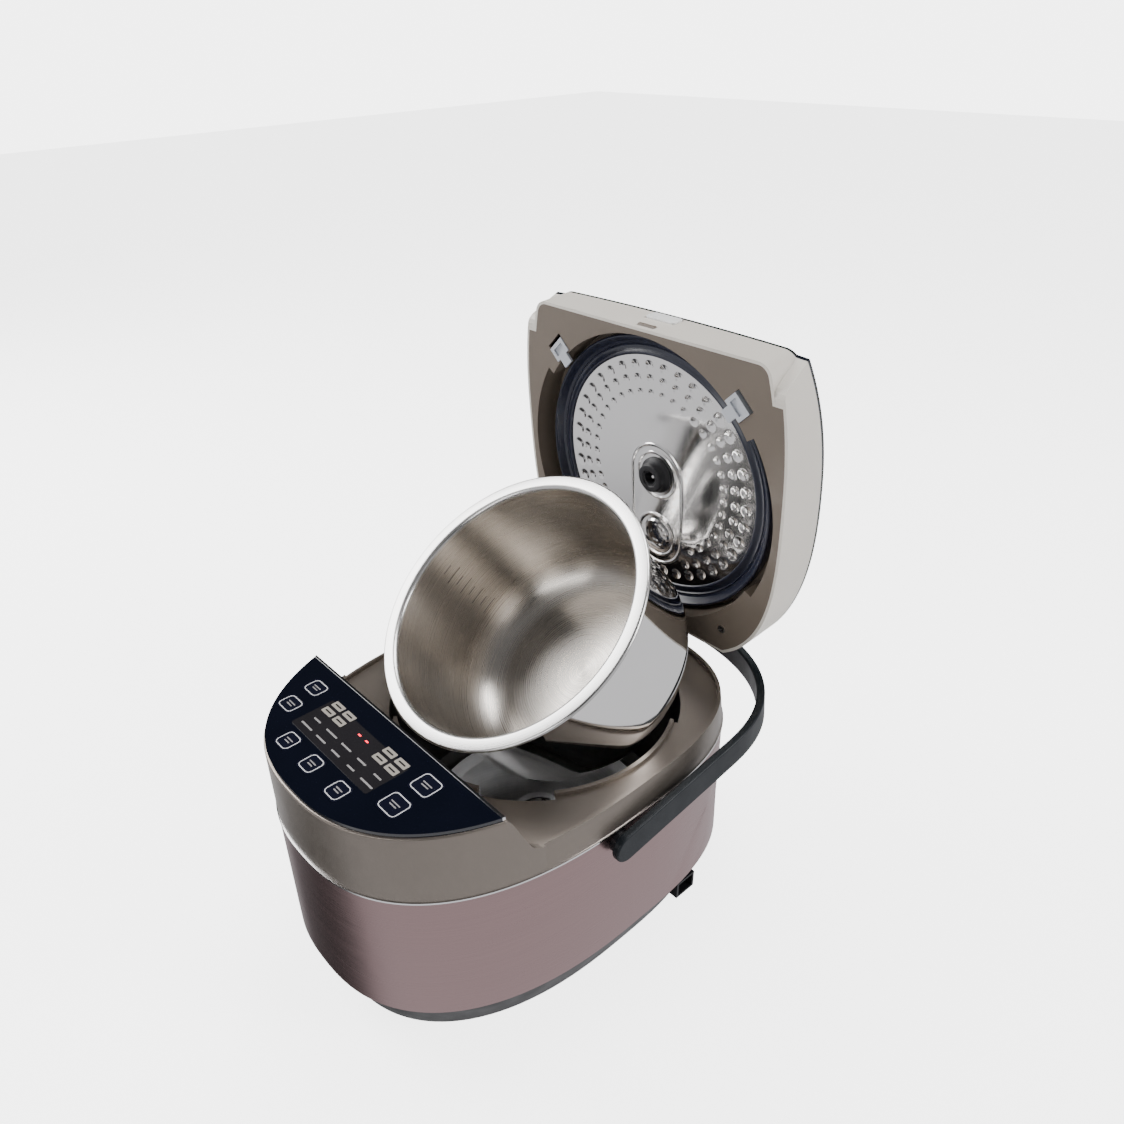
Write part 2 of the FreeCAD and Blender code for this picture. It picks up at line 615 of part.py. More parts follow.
def make_lid():
    outline = lid_outline_prism(0.0, LID_FACE, 260)
    inside = lid_outline_prism(LID_WALL, LID_FACE - 1, 261)
    crown = crown_solid(0.0)
    under = crown_solid(PLATE_THICK)
    vent_hole = cyl(0, VENT_Y, 180, 260, 17.0)

    top = outline.common(crown).cut(under)
    top = soften(
        top, 1.2, lambda e: e.BoundBox.ZMin > 205 and e.BoundBox.ZMax - 1 < 230 and e.Length > 60
    )
    nodes["lid_top_plate"] = top.cut(vent_hole)

    shell = outline.common(under).cut(inside)
    button_hole = box(-14.3, 14.3, LID_FRONT - 2, LID_FRONT + 4, 202.2, 213.8)
    hook_hole = box(-8.3, 8.3, LID_FRONT - 2, LID_FRONT + 4, 187.3, 192.3)
    nodes["lid_shell"] = shell.cut(button_hole).cut(hook_hole)

    face = lid_outline_prism(LID_WALL, LID_FACE, LID_FACE + 2.2)
    hollow = lid_well(0.0, LID_FACE - 1, ROOF_Z)
    well = lid_well(WELL_WALL, LID_FACE, ROOF_Z + WELL_WALL)
    liner = fuse([face, well]).cut(hollow).common(lid_outline_prism(LID_WALL, LID_FACE, 230))
    screws = [cyl(side * 84.0, 124.0, LID_FACE - 0.2, LID_FACE + 1.0, 3.4) for side in (-1, 1)]
    openings = [clip_shape(side, PLAY, 3.0) for side in (-1, 1)]
    openings.append(cyl(0, VENT_Y, 180, 260, 13.0))
    openings.append(cyl(0, POT_Y, ROOF_Z - 1, 230, 20.0))
    openings.append(box(-15, 15, -110, -92.6, 201.5, 230))
    openings.append(box(-8.6, 8.6, -100, -93, 187.0, 192.6))
    nodes["lid_liner"] = liner.cut(Part.makeCompound(openings)).cut(Part.makeCompound(screws))
    nodes["lid_screws"] = group(screws)

    nodes["seal_ring"] = revolve(
        [
            (PLATE_R + 0.4, PLATE_FACE - 0.8),
            (PLATE_R + 3.0, PLATE_FACE - 1.6),
            (PLATE_R + 7.0, PLATE_FACE + 0.4),
            (PLATE_R + 11.0, PLATE_FACE - 0.4),
            (SEAL_R - 2.2, PLATE_FACE - 6.0),
            (SEAL_R - 0.8, PLATE_FACE - 6.2),
            (SEAL_R, PLATE_FACE - 5.0),
            (SEAL_R, PLATE_FACE + 3.5),
            (SEAL_R - 4.0, PLATE_FACE + 5.5),
            (PLATE_R + 0.4, PLATE_FACE + 5.5),
        ],
        0,
        POT_Y,
    )
    make_inner_plate()

    arm = fuse(
        [
            cyl_x(-16.5, 16.5, HINGE_Y, HINGE_Z, 8.0),
            box(-16.5, 16.5, LID_REAR - 3, HINGE_Y, HINGE_Z - 4.2, HINGE_Z + 8.0),
            box(-16.5, -13.5, 147.2, HINGE_Y, HINGE_Z - 6.2, HINGE_Z + 12.0),
            box(13.5, 16.5, 147.2, HINGE_Y, HINGE_Z - 6.2, HINGE_Z + 12.0),
        ]
    )
    arm = arm.cut(cyl_x(-40, 40, HINGE_Y, HINGE_Z, 3.0 + PIN_PLAY))
    arm = arm.cut(box(-200, 200, 100, LID_REAR, 150, 260))
    nodes["hinge_arm"] = arm
    nodes["hinge_pin"] = cyl_x(-33, 33, HINGE_Y, HINGE_Z, 3.0)

    nodes["vent_tube"] = ring(0, VENT_Y, PLATE_FACE + 3.2, 227.0, 12.0, 10.0)
    nodes["vent_seat"] = ring(0, VENT_Y, 227.0, 229.6, 16.6, 10.0)
    nodes["steam_cap"] = revolve(
        [(6, 230.3), (20.5, 234.2), (20.5, 236.6), (18.5, 237.8), (6, 238.8), (6, 236.4), (5.9, 233.4)],
        0,
        VENT_Y,
    )
    foil = ring(0, POT_Y, ROOF_Z + WELL_WALL, ROOF_Z + WELL_WALL + 1.0, 96.0, 62.0)
    nodes["lid_foil"] = foil.cut(cyl(0, VENT_Y, 180, 260, 13.0))
    nodes["clip_left"] = clip_shape(-1, 0.0, 0.0)
    nodes["clip_right"] = clip_shape(1, 0.0, 0.0)

    button = rounded_button()
    nodes["release_button"] = button
    nodes["latch_hook"] = side_prism(
        [
            (-102.3, 189.0), (-102.3, 191.2), (-99.5, 192.0),
            (-94.4, 192.0), (-94.4, 187.6), (-100.0, 187.6),
        ],
        -8,
        8,
    )


def lid_well(grow, z0, z1):
    """Round well over the seal with a wider bay on each side."""
    bays = [sector(BAY_R + grow, start - grow, end + grow, z0, z1) for start, end in BAY_ANGLES]
    return fuse([cyl(0, POT_Y, z0, z1, LID_HOLE_R + grow)] + bays)


def rounded_button():
    block = box(-14, 14, LID_FRONT - 0.9, LID_FRONT + 5.0, 202.5, 213.5)
    along_y = [
        e
        for e in block.Edges
        if abs(e.Vertexes[0].Y - e.Vertexes[1].Y) > 1
    ]
    return block.makeFillet(3.0, along_y)


def clip_shape(side, grow, travel):
    """Inner plate clip with its finger over the seal ring; grow and travel make its slot."""
    angle = math.radians(-90 + side * CLIP_ANGLE)
    low = LID_FACE - 0.8 - grow
    reach = (LID_HOLE_R + 1 - grow, LID_HOLE_R + 13 + travel + grow)
    tab = box(*reach, -9 - grow, 9 + grow, low, 190 + grow)
    finger = box(LID_HOLE_R - 7 - grow, LID_HOLE_R + 2, -5 - grow, 5 + grow, low, LID_FACE + 1.4 + grow)
    clip = fuse([tab, finger])
    if grow == 0.0:
        clip = clip.cut(box(LID_HOLE_R + 4, LID_HOLE_R + 10, -6, 6, LID_FACE - 3, LID_FACE + 1.0))
    clip.rotate(Vector(0, 0, 0), Vector(0, 0, 1), math.degrees(angle))
    clip.translate(Vector(0, POT_Y, 0))
    return clip


def make_inner_plate():
    """Stainless steam plate with three rings of pressed dimples and a pill shaped emboss."""
    plate = cyl(0, POT_Y, PLATE_FACE, PLATE_FACE + 1.6, PLATE_R)
    balls = []
    for radius, size, deep in DIMPLE_RINGS:
        ball = (size**2 + deep**2) / (2 * deep)
        for i in range(DIMPLE_COUNT):
            a = 2 * math.pi * i / DIMPLE_COUNT
            x, y = radius * math.cos(a), POT_Y + radius * math.sin(a)
            along = min(max(y, POT_Y), VENT_Y)
            if math.hypot(x, y - along) > PILL_R + size:
                balls.append(Part.makeSphere(ball, Vector(x, y, PLATE_FACE + deep - ball)))
    plate = plate.cut(Part.makeCompound(balls))
    knob = cyl(0, POT_Y, 180, 210, 9.0)
    cover = cyl(0, VENT_Y, 180, 210, 14.2)
    nodes["inner_lid_plate"] = plate.cut(knob).cut(cover)

    nodes["plate_knob"] = revolve(
        [
            (4.0, PLATE_FACE + 6),
            (9.0, PLATE_FACE + 6),
            (9.0, PLATE_FACE),
            (15.0, PLATE_FACE),
            (15.0, PLATE_FACE - 2.0),
            (12.0, PLATE_FACE - 5.0),
            (12.0, PLATE_FACE - 8.0),
            (10.0, PLATE_FACE - 9.2),
            (5.0, PLATE_FACE - 9.2),
            (4.0, PLATE_FACE - 6.0),
        ],
        0,
        POT_Y,
    )
    cover = revolve(
        [
            (0, PLATE_FACE - 1.6),
            (12.5, PLATE_FACE - 1.6),
            (14.0, PLATE_FACE - 0.4),
            (14.0, PLATE_FACE + 3.0),
            (12.6, PLATE_FACE + 3.0),
            (12.6, PLATE_FACE),
            (0, PLATE_FACE),
        ],
        0,
        VENT_Y,
    )
    slots = []
    for r0, r1 in ((4.0, 6.0), (8.4, 10.4)):
        for start in (0, 120, 240):
            low = Vector(0, VENT_Y, PLATE_FACE - 6)
            band = Part.makeCylinder(r1, 10, low, Vector(0, 0, 1), 80)
            band = band.cut(Part.makeCylinder(r0, 12, low - Vector(0, 0, 1)))
            band.rotate(Vector(0, VENT_Y, 0), Vector(0, 0, 1), start + 15 * r0)
            slots.append(band)
    nodes["steam_cover"] = cover.cut(Part.makeCompound(slots))


LID_NODES = (
    "lid_top_plate",
    "lid_shell",
    "lid_liner",
    "seal_ring",
    "inner_lid_plate",
    "plate_knob",
    "steam_cover",
    "hinge_arm",
    "vent_tube",
    "vent_seat",
    "steam_cap",
    "lid_foil",
    "lid_screws",
    "clip_left",
    "clip_right",
    "release_button",
    "latch_hook",
)


def open_lid():
    for name in LID_NODES:
        nodes[name].rotate(Vector(0, HINGE_Y, HINGE_Z), Vector(1, 0, 0), -LID_OPEN)


# ---------------------------------------------------------------- write the parts
def main():
    make_base()
    make_band()
    make_housing()
    make_panel()
    make_cavity()
    make_handle()
    make_pot()
    make_lid()
    open_lid()
    os.makedirs("parts", exist_ok=True)
    for name, shape in nodes.items():
        shape.exportStep("parts/%s.step" % name)
        print(name, len(shape.Solids), round(shape.Volume), shape.isValid())


main()
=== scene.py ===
import json
import math

import bmesh
import bpy
from mathutils import Matrix, Vector


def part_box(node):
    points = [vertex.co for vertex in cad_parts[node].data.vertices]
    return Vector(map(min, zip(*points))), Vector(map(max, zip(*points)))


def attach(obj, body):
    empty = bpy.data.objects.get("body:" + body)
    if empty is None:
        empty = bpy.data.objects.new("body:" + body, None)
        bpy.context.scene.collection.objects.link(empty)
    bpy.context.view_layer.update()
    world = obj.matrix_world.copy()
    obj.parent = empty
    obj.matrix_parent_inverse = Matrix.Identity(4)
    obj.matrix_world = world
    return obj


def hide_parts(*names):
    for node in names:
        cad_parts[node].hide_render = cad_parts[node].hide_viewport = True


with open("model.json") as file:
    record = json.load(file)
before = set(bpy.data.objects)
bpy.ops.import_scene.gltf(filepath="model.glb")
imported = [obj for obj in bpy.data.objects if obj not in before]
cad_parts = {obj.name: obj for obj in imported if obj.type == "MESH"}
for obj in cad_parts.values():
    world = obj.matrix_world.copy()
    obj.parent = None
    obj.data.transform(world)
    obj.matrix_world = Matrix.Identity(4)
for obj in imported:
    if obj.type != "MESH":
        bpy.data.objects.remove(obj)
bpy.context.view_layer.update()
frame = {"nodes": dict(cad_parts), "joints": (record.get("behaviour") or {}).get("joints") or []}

# Metres, in the CAD frame: +X right, -Y control panel, +Z up.
NODES = frame["nodes"]
JOINTS = {j["name"]: j for j in frame["joints"]}

# ------------------------------------------------------------------ driving sizes
PANEL_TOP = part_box("panel_glass")[1][2]
KEY_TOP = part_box("key_1")[1][2]
KEYS = ["key_%d" % i for i in range(1, 8)]

HINGE = Vector(JOINTS["lid_hinge"]["pos_m"])
LID_OPEN = math.radians(-JOINTS["lid_hinge"]["range_deg"][0])
LID_POSE = (
    Matrix.Translation(HINGE) @ Matrix.Rotation(-LID_OPEN, 4, "X") @ Matrix.Translation(-HINGE)
)
POT_Y = 0.022
PLATE_FACE = 0.200
PLATE_R = 0.097
SEAL_R = 0.1135
VENT_Y = 0.077
PILL_R = 0.026
DIMPLE_RINGS = ((0.0885, 0.0052, 0.0013), (0.0785, 0.0043, 0.0011), (0.0675, 0.0035, 0.0009))
DIMPLE_STEP = 2 * math.pi / 38

POT_AXIS = Vector(JOINTS["pot_lift"]["axis"])
POT_RIM_CENTRE = Vector((-0.0001, -0.0009, 0.2768))
POT_R = 0.1035
POT_DEPTH = 0.120
POT_WALL = 0.0016
POT_CORNER = 0.033
RIM_R = 0.114
RIM_THICK = 0.0036
MARK_ANGLE = 178.0
MARK_START = -0.086
MARK_STEP = 0.0090
MARK_H = 0.0008
POT_POSE = (
    Matrix.Translation(POT_RIM_CENTRE)
    @ Vector((0, 0, 1)).rotation_difference(POT_AXIS).to_matrix().to_4x4()
)


# ------------------------------------------------------------------ material helpers
class Shader:
    """A node material: bsdf is its Principled shader, and each method adds one block of nodes."""

    def __init__(self, name, base, rough, metal=0.0, **sockets):
        self.mat = bpy.data.materials.new(name)
        self.mat.use_nodes = True
        self.tree = self.mat.node_tree
        self.bsdf = self.tree.nodes["Principled BSDF"]
        self.coord = self.tree.nodes.new("ShaderNodeTexCoord")
        self.base = base
        self.set("Base Color", (*base, 1.0))
        self.set("Roughness", rough)
        self.set("Metallic", metal)
        for key, value in sockets.items():
            self.set(key.replace("_", " "), value)

    def set(self, socket, value):
        self.bsdf.inputs[socket].default_value = value

    def link(self, a, b):
        self.tree.links.new(a, b)

    def noise(self, scale, stretch=(1, 1, 1), detail=4.0, rough=0.5):
        """Noise in object space; stretch multiplies the frequency along each axis."""
        mapping = self.tree.nodes.new("ShaderNodeMapping")
        mapping.inputs["Scale"].default_value = stretch
        self.link(self.coord.outputs["Object"], mapping.inputs["Vector"])
        tex = self.tree.nodes.new("ShaderNodeTexNoise")
        tex.inputs["Scale"].default_value = scale
        tex.inputs["Detail"].default_value = detail
        tex.inputs["Roughness"].default_value = rough
        self.link(mapping.outputs["Vector"], tex.inputs["Vector"])
        return tex.outputs["Fac"]

    def spread(self, fac, low, high):
        """Maps 0..1 to low..high."""
        node = self.tree.nodes.new("ShaderNodeMapRange")
        node.inputs["From Min"].default_value = 0.3
        node.inputs["From Max"].default_value = 0.7
        node.inputs["To Min"].default_value = low
        node.inputs["To Max"].default_value = high
        self.link(fac, node.inputs["Value"])
        return node.outputs["Result"]

    def tint(self, fac, dark, light):
        """Base colour that wanders between two colours."""
        ramp = self.tree.nodes.new("ShaderNodeValToRGB")
        ramp.color_ramp.elements[0].position = 0.3
        ramp.color_ramp.elements[0].color = (*dark, 1)
        ramp.color_ramp.elements[1].position = 0.7
        ramp.color_ramp.elements[1].color = (*light, 1)
        self.link(fac, ramp.inputs["Fac"])
        self.link(ramp.outputs["Color"], self.bsdf.inputs["Base Color"])

    def bump(self, fac, strength, distance):
        node = self.tree.nodes.new("ShaderNodeBump")
        node.inputs["Strength"].default_value = strength
        node.inputs["Distance"].default_value = distance
        self.link(fac, node.inputs["Height"])
        if self.bsdf.inputs["Normal"].is_linked:
            self.link(self.bsdf.inputs["Normal"].links[0].from_socket, node.inputs["Normal"])
        self.link(node.outputs["Normal"], self.bsdf.inputs["Normal"])

    def radial(self):
        """Distance from the object's own Z axis, as a vector with only that value."""
        split = self.tree.nodes.new("ShaderNodeSeparateXYZ")
        self.link(self.coord.outputs["Object"], split.inputs["Vector"])
        join = self.tree.nodes.new("ShaderNodeCombineXYZ")
        self.link(split.outputs["X"], join.inputs["X"])
        self.link(split.outputs["Y"], join.inputs["Y"])
        length = self.tree.nodes.new("ShaderNodeVectorMath")
        length.operation = "LENGTH"
        self.link(join.outputs["Vector"], length.inputs[0])
        out = self.tree.nodes.new("ShaderNodeCombineXYZ")
        self.link(length.outputs["Value"], out.inputs["X"])
        self.link(split.outputs["Z"], out.inputs["Z"])
        return out.outputs["Vector"]

    def ring_noise(self, scale, stretch, detail=3.0):
        """Noise that is the same all round the object's Z axis, as turning and spinning leave."""
        mapping = self.tree.nodes.new("ShaderNodeMapping")
        mapping.inputs["Scale"].default_value = stretch
        self.link(self.radial(), mapping.inputs["Vector"])
        tex = self.tree.nodes.new("ShaderNodeTexNoise")
        tex.inputs["Scale"].default_value = scale
        tex.inputs["Detail"].default_value = detail
        self.link(mapping.outputs["Vector"], tex.inputs["Vector"])
        return tex.outputs["Fac"]


def satin(name, base, rough, grain=900.0, bump=0.12, drift=0.06, **sockets):
    """Painted or moulded surface with a fine grain and a slow drift of shade."""
    s = Shader(name, base, rough, **sockets)
    dark = tuple(c * (1 - drift) for c in base)
    light = tuple(min(1.0, c * (1 + drift)) for c in base)
    s.tint(s.noise(18.0, detail=3.0), dark, light)
    s.link(s.spread(s.noise(60.0), rough * 0.9, rough * 1.12), s.bsdf.inputs["Roughness"])
    s.bump(s.noise(grain, detail=2.0), bump, 0.0002)
    return s.mat


def gloss(name, base, rough=0.06, **sockets):
    """Moulded gloss or lacquer with a faint orange peel and a few dull patches."""
    s = Shader(name, base, rough, **sockets)
    s.tint(s.noise(30.0), tuple(c * 0.92 for c in base), tuple(min(1, c * 1.08) for c in base))
    s.link(s.spread(s.noise(25.0), rough * 0.8, rough * 1.5), s.bsdf.inputs["Roughness"])
    s.bump(s.noise(140.0, detail=1.0), 0.05, 0.0001)
    return s.mat


def brushed(name, base, rough, stretch, aniso=0.5, streak=0.06, bump=0.1, metal=1.0):
    """Metal sheet brushed in one direction; stretch is fine across the lines and slow along them."""
    s = Shader(name, base, rough, metal, Anisotropic=aniso)
    lines = s.noise(1.0, stretch, detail=5.0, rough=0.65)
    dark = tuple(c * (1 - streak) for c in base)
    light = tuple(min(1.0, c * (1 + streak)) for c in base)
    s.tint(lines, dark, light)
    s.link(s.spread(lines, rough * 0.82, rough * 1.2), s.bsdf.inputs["Roughness"])
    s.bump(lines, bump, 0.0001)
    return s.mat


def spun(name, base, rough, fine=2600.0, aniso=0.6, streak=0.03, bump=0.03):
    """Metal finished on a lathe: the lines run round the object's own Z axis."""
    s = Shader(name, base, rough, 1.0, Anisotropic=aniso, Anisotropic_Rotation=0.25)
    tangent = s.tree.nodes.new("ShaderNodeTangent")
    tangent.direction_type = "RADIAL"
    tangent.axis = "Z"
    s.link(tangent.outputs["Tangent"], s.bsdf.inputs["Tangent"])
    lines = s.ring_noise(1.0, (fine, 1, fine * 0.8))
    dark = tuple(c * (1 - streak) for c in base)
    light = tuple(min(1.0, c * (1 + streak)) for c in base)
    s.tint(lines, dark, light)
    s.link(s.spread(lines, rough * 0.8, rough * 1.25), s.bsdf.inputs["Roughness"])
    s.bump(lines, bump, 0.00008)
    return s.mat


def polished(name, base, rough=0.05):
    """Polished metal with hairline scratches in two directions."""
    s = Shader(name, base, rough, 1.0)
    scratches = s.noise(1.0, (1500, 60, 300), detail=3.0)
    s.link(s.spread(scratches, rough * 0.8, rough * 1.6), s.bsdf.inputs["Roughness"])
    s.tint(s.noise(12.0), tuple(c * 0.97 for c in base), base)
    s.bump(s.noise(1.0, (40, 900, 900), detail=2.0), 0.015, 0.00005)
    return s.mat


def glow(name, colour, power):
    s = Shader(name, colour, 0.4)
    s.set("Emission Color", (*colour, 1.0))
    s.set("Emission Strength", power)
    s.link(s.spread(s.noise(700.0), 0.35, 0.5), s.bsdf.inputs["Roughness"])
    return s.mat


def champagne(name, base, rough):
    """Fine metallic paint: pale flakes in a satin base under a thin clear coat."""
    s = Shader(name, base, rough, 0.8, Coat_Weight=0.15, Coat_Roughness=0.25)
    flakes = s.noise(5200.0, detail=1.0)
    s.tint(flakes, tuple(c * 0.93 for c in base), tuple(min(1.0, c * 1.08) for c in base))
    s.link(s.spread(s.noise(70.0), rough * 0.92, rough * 1.1), s.bsdf.inputs["Roughness"])
    s.bump(s.noise(1500.0, detail=2.0), 0.05, 0.0001)
    return s.mat


HOUSING = champagne("champagne_paint", (0.235, 0.203, 0.176), 0.34)
BAND = brushed("rose_brushed_wrap", (0.37, 0.255, 0.255), 0.30, (7, 7, 2400), 0.5, 0.07, 0.08)
BLACK = satin("black_moulding", (0.007, 0.007, 0.009), 0.42, 1300.0, 0.15, Specular_IOR_Level=0.25)
HANDLE = satin(
    "slate_black_moulding", (0.006, 0.009, 0.012), 0.42, 1500.0, 0.14, Specular_IOR_Level=0.25
)
CREAM = satin("cream_moulding", (0.66, 0.62, 0.56), 0.40, 1200.0, 0.05, 0.02, Coat_Weight=0.15)
TAUPE = satin("taupe_moulding", (0.15, 0.121, 0.095), 0.42, 1200.0, 0.08, 0.04)
LID_GLOSS = gloss("lid_black_gloss", (0.006, 0.008, 0.014), 0.07, Coat_Weight=0.6)
GLASS = gloss("panel_black_glass", (0.003, 0.004, 0.009), 0.045, Coat_Weight=0.8, Coat_Roughness=0.03)
KEY_CAP = gloss("key_black_gloss", (0.006, 0.007, 0.016), 0.07, Coat_Weight=0.6)
CHROME = polished("bright_trim", (0.86, 0.86, 0.87), 0.07)
STEEL = brushed("stainless_sheet", (0.60, 0.59, 0.57), 0.28, (30, 30, 900))
MIRROR = polished("mirror_stainless", (0.83, 0.82, 0.81), 0.045)
PRESSED = polished("pressed_stainless", (0.80, 0.79, 0.78), 0.10)
SPUN = spun("spun_stainless", (0.53, 0.495, 0.455), 0.28, 2600.0, 0.85, 0.03, 0.015)
RIM_METAL = spun("polished_rim", (0.60, 0.59, 0.58), 0.26, 1800.0, 0.6, 0.03, 0.04)
ALUMINIUM = spun("cast_aluminium", (0.55, 0.55, 0.56), 0.42, 900.0, 0.2, 0.08, 0.15)
SILICONE = satin(
    "navy_silicone", (0.010, 0.013, 0.030), 0.33, 700.0, 0.05, 0.08,
    Coat_Weight=0.25, Coat_Roughness=0.2,
)
RUBBER = satin("black_rubber", (0.010, 0.010, 0.012), 0.5, 1600.0, 0.2)
CLIP = satin("pale_grey_clip", (0.48, 0.50, 0.54), 0.3, 900.0, 0.04, 0.03, Coat_Weight=0.3)
WHITE = gloss("white_button", (0.80, 0.80, 0.79), 0.25)
BOARD = satin("circuit_board", (0.02, 0.12, 0.05), 0.45, 500.0, 0.2, 0.15)
BRASS = polished("brass_pins", (0.80, 0.62, 0.30), 0.2)
PRINT_SILVER = satin("silver_print", (0.62, 0.62, 0.64), 0.35, 1500.0, 0.02, 0.02)
PRINT_GREY = satin("grey_print", (0.26, 0.25, 0.25), 0.5, 1500.0, 0.02, 0.02)
PRINT_BEIGE = satin("beige_print", (0.30, 0.275, 0.24), 0.5, 1500.0, 0.02, 0.03)
ETCHED = satin("etched_steel", (0.16, 0.15, 0.14), 0.5, 1500.0, 0.02, 0.04, Metallic=0.6)
SMOKE = gloss("smoky_window", (0.016, 0.015, 0.017), 0.10)
LED = glow("red_led", (1.0, 0.02, 0.05), 3.0)
DARK_INSIDE = satin("cavity_shade", (0.02, 0.018, 0.016), 0.5, 900.0, 0.1)

CAD_FINISH = {
    HOUSING: ["upper_housing"],
    BAND: ["wrap_band"],
    BLACK: [
        "base_pan", "power_inlet", "handle_bosses", "thermal_fuse", "power_board_parts",
        "power_board_posts", "board_posts", "display_module", "key_switches", "sensor_housing",
    ],
    HANDLE: ["carry_handle"],
    CREAM: ["lid_shell"],
    TAUPE: ["lid_liner", "hinge_arm", "latch_hook", "vent_tube", "vent_seat"],
    LID_GLOSS: ["lid_top_plate", "steam_cap"],
    GLASS: ["panel_glass"],
    KEY_CAP: KEYS,
    CHROME: ["trim_ring", "panel_trim_strip"],
    STEEL: [
        "base_screws", "handle_pins", "hinge_pin", "latch_strike", "sensor_spring",
        "heat_shield", "shield_tabs", "lid_screws", "sensor_plunger", "lid_foil",
    ],
    MIRROR: ["inner_pot", "inner_lid_plate", "steam_cover"],
    ALUMINIUM: ["heating_plate", "heater_element"],
    SILICONE: ["seal_ring"],
    RUBBER: ["rubber_feet", "plate_knob", "plate_pads"],
    CLIP: ["clip_left", "clip_right"],
    WHITE: ["release_button"],
    BOARD: ["control_board", "power_board"],
    BRASS: ["inlet_pins"],
    DARK_INSIDE: ["cavity_cup"],
}
for material, names in CAD_FINISH.items():
    for name in names:
        NODES[name].data.materials.clear()
        NODES[name].data.materials.append(material)


# ------------------------------------------------------------------ mesh helpers
def finish_mesh(name, bm, material, sharp=35.0):
    """Turns a bmesh into an object with smooth faces and sharp corners kept."""
    bmesh.ops.recalc_face_normals(bm, faces=bm.faces)
    limit = math.radians(sharp)
    for face in bm.faces:
        face.smooth = True
    for edge in bm.edges:
        if len(edge.link_faces) == 2:
            edge.smooth = edge.calc_face_angle(0.0) < limit
    mesh = bpy.data.meshes.new(name)
    bm.to_mesh(mesh)
    bm.free()
    obj = bpy.data.objects.new(name, mesh)
    bpy.context.scene.collection.objects.link(obj)
    materials = material if isinstance(material, (list, tuple)) else [material]
    for m in materials:
        obj.data.materials.append(m)
    return obj


def lathe(name, profile, material, segments=192, closed=True, index=None):
    """Solid of revolution about Z; profile is (r, z) points, index gives each side's material."""
    bm = bmesh.new()
    rings = []
    for r, z in profile:
        if r < 1e-7:
            rings.append([bm.verts.new((0, 0, z))])
        else:
            turn = [2 * math.pi * i / segments for i in range(segments)]
            rings.append([bm.verts.new((r * math.cos(a), r * math.sin(a), z)) for a in turn])
    count = len(rings) if closed else len(rings) - 1
    for k in range(count):
        a, b = rings[k], rings[(k + 1) % len(rings)]
        slot = index(k) if index else 0
        for i in range(segments):
            j = (i + 1) % segments
            corners = []
            for ring, picks in ((a, (i, j)), (b, (j, i))):
                corners += [ring[0]] if len(ring) == 1 else [ring[p] for p in picks]
            if len(corners) > 2:
                bm.faces.new(corners).material_index = slot
    return finish_mesh(name, bm, material)


def arc(cx, cz, r, start, end, steps=8):
    angles = [math.radians(start + (end - start) * i / steps) for i in range(steps + 1)]
    return [(cx + r * math.cos(a), cz + r * math.sin(a)) for a in angles]


def rounded_outline(sx, sy, r, steps=6):
    """Corner-rounded rectangle about the origin, as (x, y) points."""
    points = []
    for qx, qy, start in ((1, 1, 0), (-1, 1, 90), (-1, -1, 180), (1, -1, 270)):
        points += arc(qx * (sx / 2 - r), qy * (sy / 2 - r), r, start, start + 90, steps)
    return points


def slab(name, outlines, z0, z1, material, place=Matrix.Identity(4)):
    """Flat piece; outlines is one closed outline, or an outer and an inner one for a frame."""
    bm = bmesh.new()
    levels = []
    for points in outlines:
        levels.append([[bm.verts.new((x, y, z)) for x, y in points] for z in (z0, z1)])
    count = len(outlines[0])
    for low, high in levels:
        for i in range(count):
            j = (i + 1) % count
            bm.faces.new((low[i], low[j], high[j], high[i]))
    if len(levels) == 1:
        bm.faces.new(levels[0][0])
        bm.faces.new(levels[0][1])
    else:
        for level in (0, 1):
            outer, inner = levels[0][level], levels[1][level]
            for i in range(count):
                j = (i + 1) % count
                bm.faces.new((outer[i], outer[j], inner[j], inner[i]))
    obj = finish_mesh(name, bm, material)
    obj.matrix_world = place
    return obj


# ------------------------------------------------------------------ control panel
PRINT_LIFT = 0.00012
PRINT_SUNK = 0.0001
KEY_MARGIN = 0.0026
KEY_OUTLINE_R = 0.0036
KEY_LINE = 0.0007
LEGEND_BARS = ((0.0012, 0.52), (-0.0012, 0.40))
LABEL_Y = -0.1273
LABEL_OFFSETS = ((-0.0073, 0.0042), (0.0073, 0.0042), (-0.0073, -0.0042), (0.0073, -0.0042))
MENU_ROWS = (-0.1422, -0.1508)
MENU_START = -0.0465
MENU_STEP = 0.0195
LED_Y = -0.1286


def print_on_panel(name, x, y, sx, sy, r, material, body="body", base=PANEL_TOP):
    """Thin round-cornered patch of print, centred at x, y and lying on base."""
    shape = [(px + x, py + y) for px, py in rounded_outline(sx, sy, r, 4)]
    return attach(slab(name, [shape], base - PRINT_SUNK, base + PRINT_LIFT, material), body)


def key_frame(key):
    """Silver outline and a two-bar legend on one key."""
    low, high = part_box(key)
    x, y = (low[0] + high[0]) / 2, (low[1] + high[1]) / 2
    sx, sy = high[0] - low[0] - KEY_MARGIN, high[1] - low[1] - KEY_MARGIN
    outlines = []
    for line in (0.0, KEY_LINE):
        shape = rounded_outline(sx - 2 * line, sy - 2 * line, KEY_OUTLINE_R - line)
        outlines.append([(px + x, py + y) for px, py in shape])
    frame_piece = slab(
        key + "_outline", outlines, KEY_TOP - PRINT_SUNK, KEY_TOP + PRINT_LIFT, PRINT_SILVER
    )
    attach(frame_piece, key)
    for row, width in LEGEND_BARS:
        name = "%s_legend_%d" % (key, row > 0)
        print_on_panel(name, x, y + row, sx * width, 0.0009, 0.0004, PRINT_GREY, key, KEY_TOP)


